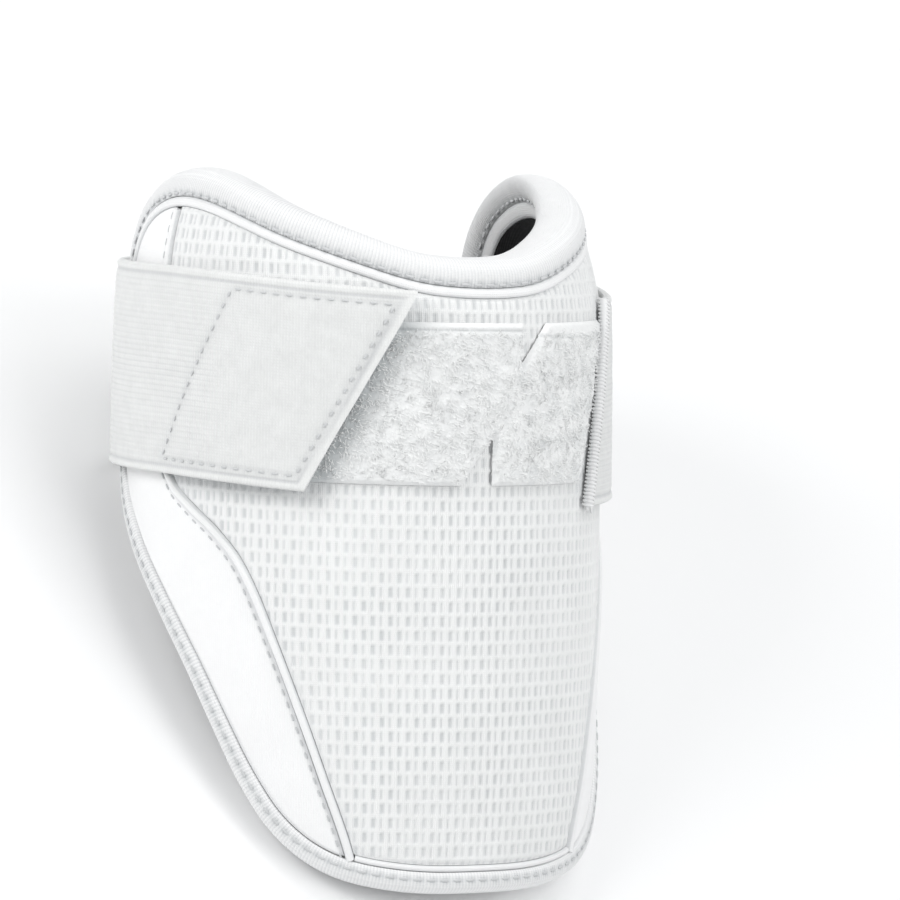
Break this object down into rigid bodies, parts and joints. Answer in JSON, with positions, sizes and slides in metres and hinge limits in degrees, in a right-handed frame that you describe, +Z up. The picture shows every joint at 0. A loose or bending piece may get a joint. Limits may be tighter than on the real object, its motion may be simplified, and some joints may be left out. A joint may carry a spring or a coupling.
{
  "type": "baseball elbow guard",
  "caption": "Padded elbow guard: a moulded foam shell with mesh face and bound edges, open at the back, held by one wide elastic strap on a loop patch.",
  "frame": {"origin": "middle of the bounding box's floor, on the surface that the guard rests on", "axes": "+Z up from that surface, +Y towards the upper-arm end, +X to the side of the strap's sewn start; the arm's line leans 40.5 degrees up from +Y"},
  "size_m": [0.1272, 0.1736, 0.1],
  "materials": {
    "foam": "matt moulded foam",
    "mesh": "white spacer mesh of tall slots",
    "cover_fabric": "smooth white knit",
    "lining": "matt black knit",
    "tape": "flat white woven tape",
    "binding": "finely ribbed white binding",
    "piping": "white piping",
    "elastic": "pale grey-white ribbed elastic",
    "hook": "pale hook tape",
    "loop_pile": "pale grey-blue loop pile",
    "thread": "white overlocked thread"
  },
  "bodies": {
    "root": {"padded_shell": "foam", "mesh_panel": "mesh", "left_wing_cover": "cover_fabric", "right_wing_cover": "cover_fabric", "inner_lining": "lining", "inner_tape": "tape", "top_binding": "binding", "lower_binding": "binding", "top_band": "tape", "left_piping": "piping", "right_piping": "piping", "bottom_piping": "piping", "strap": "elastic", "hook_tape": "hook", "loop_patch": "loop_pile", "strap_overlock": "thread"}
  },
  "joints": []
}
